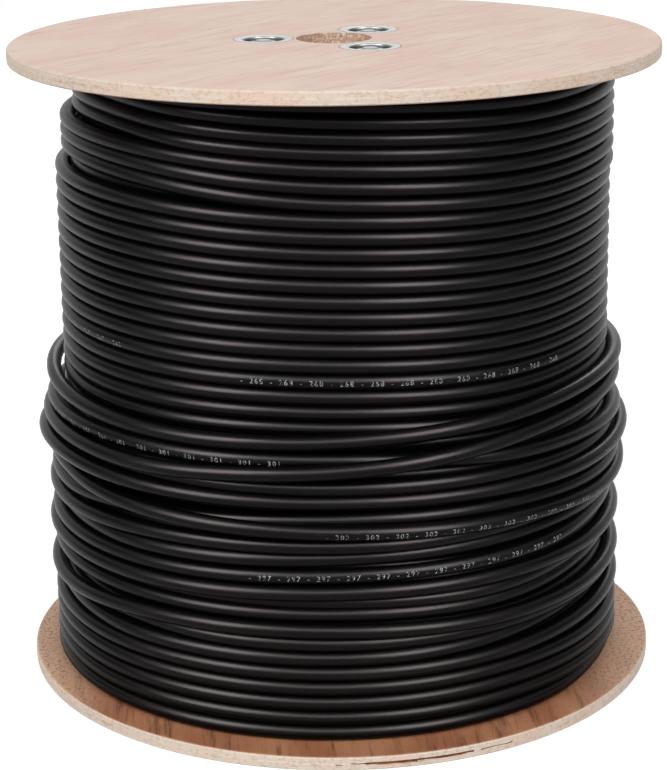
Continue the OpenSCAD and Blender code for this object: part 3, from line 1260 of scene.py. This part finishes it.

# %% [markdown]
# Zinc
#
# Washers, nuts and tie rods are steel with a bright zinc plating. One even metal would make them all
# look new. So this is a metal that mirrors the white room, a little blurred, with faint marks from the
# press and a duller bloom in patches. A painted shade darkens the edge of each washer's ring where it
# meets the wood, and a painted shade darkens the cups inside, where they are also rougher, so the
# colour also follows the distance from the nearest rod.

# %% Zinc material
ZINC_BRIGHT = (0.46, 0.455, 0.44, 1)
ZINC_DULL = (0.30, 0.305, 0.31, 1)
# Painted shade inside the washers' cups
CUP_SHADE_ZINC = (0.29, 0.295, 0.295, 1)
# Painted shade along the outer edge of each washer's ring, where it meets the wood
RING_EDGE_SHADE = (0.05, 0.035, 0.028, 1)
RING_SHADE_START = 13.2 * MM
BOWL_R = CUP_HOLE_R - 2 * MM
ROD_SPREAD = 2 * math.pi / len(ROD_AZIMUTHS)
ZINC_ROUGHNESS = 0.16
MARKS_ROUGHER = 0.22
BOWL_ROUGHER = 0.12

zinc, tree, surface = new_material("bright_zinc")
place = coordinates(tree)["Object"]
bloom = fade(tree, noise(tree, place, scale=160), low=0.42, high=0.7)
press_marks = use_group(tree, streaks, Place=place, Turn=0.4, Along=160.0, Across=1500.0)["Mask"]
ring = use_group(tree, around, Place=place)
past_rod = calc(tree, "FLOORED_MODULO", ring["Azimuth"], ROD_SPREAD)
nearest = calc(tree, "SUBTRACT", past_rod, ROD_SPREAD / 2)
aside = calc(tree, "MULTIPLY", ring["Radius"], calc(tree, "SINE", nearest))
outwards = calc(tree, "MULTIPLY_ADD", ring["Radius"], calc(tree, "COSINE", nearest), -ROD_CIRCLE_R)
squares = calc(tree, "ADD", calc(tree, "POWER", aside, 2), calc(tree, "POWER", outwards, 2))
from_rod = calc(tree, "SQRT", squares)
# Inside the cups a painted shade darkens the zinc, which is also rougher there
bowl = fade(tree, from_rod, CUP_HOLE_R, BOWL_R)
# A painted shade darkens the ring's edge next to the wood
ring_edge_shade = fade(tree, from_rod, RING_SHADE_START, SEAT_R)
colour = tint(tree, ZINC_BRIGHT, ZINC_DULL, bloom, most=0.6)
colour = tint(tree, colour, CUP_SHADE_ZINC, bowl)
plug(tree, surface["Base Color"], tint(tree, colour, RING_EDGE_SHADE, ring_edge_shade))
shine = calc(tree, "MULTIPLY_ADD", press_marks, MARKS_ROUGHER, ZINC_ROUGHNESS)
plug(tree, surface["Roughness"], calc(tree, "MULTIPLY_ADD", bowl, BOWL_ROUGHER, shine))
surface["Metallic"].default_value = 1
bump(tree, surface, press_marks, distance=0.04 * MM, strength=0.4)
print("zinc has", len(tree.nodes), "nodes")

# %% [markdown]
# Paperboard
#
# The barrel is a tube of brown paper wound in a spiral and glued. Only its bore shows, through the
# arbor holes: long fibres, and the butt seam of the paper climbing round the tube. A plain brown would
# do at this size, but the seam is what tells a wound tube from a pressed one.

# %% Paperboard material
PAPER_BROWN = (0.40, 0.27, 0.165, 1)
PAPER_PALE = (0.52, 0.38, 0.25, 1)
SEAM_BROWN = (0.16, 0.10, 0.06, 1)
PAPER_WIDTH = 95 * MM
PAPER_ROUGHNESS = 0.7
FIBRES_ROUGHER = 0.2

paperboard, tree, surface = new_material("wound_paperboard")
place = coordinates(tree)["Object"]
ring = use_group(tree, around, Place=place)
climb = calc(tree, "MULTIPLY", ring["Azimuth"], PAPER_WIDTH / (2 * math.pi))
spiral = calc(tree, "DIVIDE", calc(tree, "ADD", parts_of(tree, place)[2], climb), PAPER_WIDTH)
seam = calc(tree, "SUBTRACT", 1, fade(tree, calc(tree, "FRACT", spiral), low=0.008, high=0.016))
paper_fibres = use_group(tree, streaks, Place=place, Turn=0.9, Along=90.0, Across=700.0)["Mask"]
colour = tint(tree, PAPER_BROWN, PAPER_PALE, fade(tree, paper_fibres, low=0.35, high=0.7))
plug(tree, surface["Base Color"], tint(tree, colour, SEAM_BROWN, seam))
matt = calc(tree, "MULTIPLY_ADD", paper_fibres, FIBRES_ROUGHER, PAPER_ROUGHNESS)
plug(tree, surface["Roughness"], matt)
bump(tree, surface, paper_fibres, distance=0.1 * MM, strength=0.5)
print("paperboard has", len(tree.nodes), "nodes")

# %% [markdown]
# The solids that stay
#
# The washers, nuts, rods and barrel were turned and pressed to simple shapes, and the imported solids
# have those already. They stay, and only their finish is new.

# %% Finishes for the solids that stay
finishes = {"cup": zinc, "nut": zinc, "tie_rod": zinc, "barrel": paperboard}
dressed = 0
for node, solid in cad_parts.items():
    for word, finish in finishes.items():
        if word in node:
            for slot in solid.material_slots:
                slot.material = finish
            dressed += 1
print(dressed, "solids have zinc or paperboard")
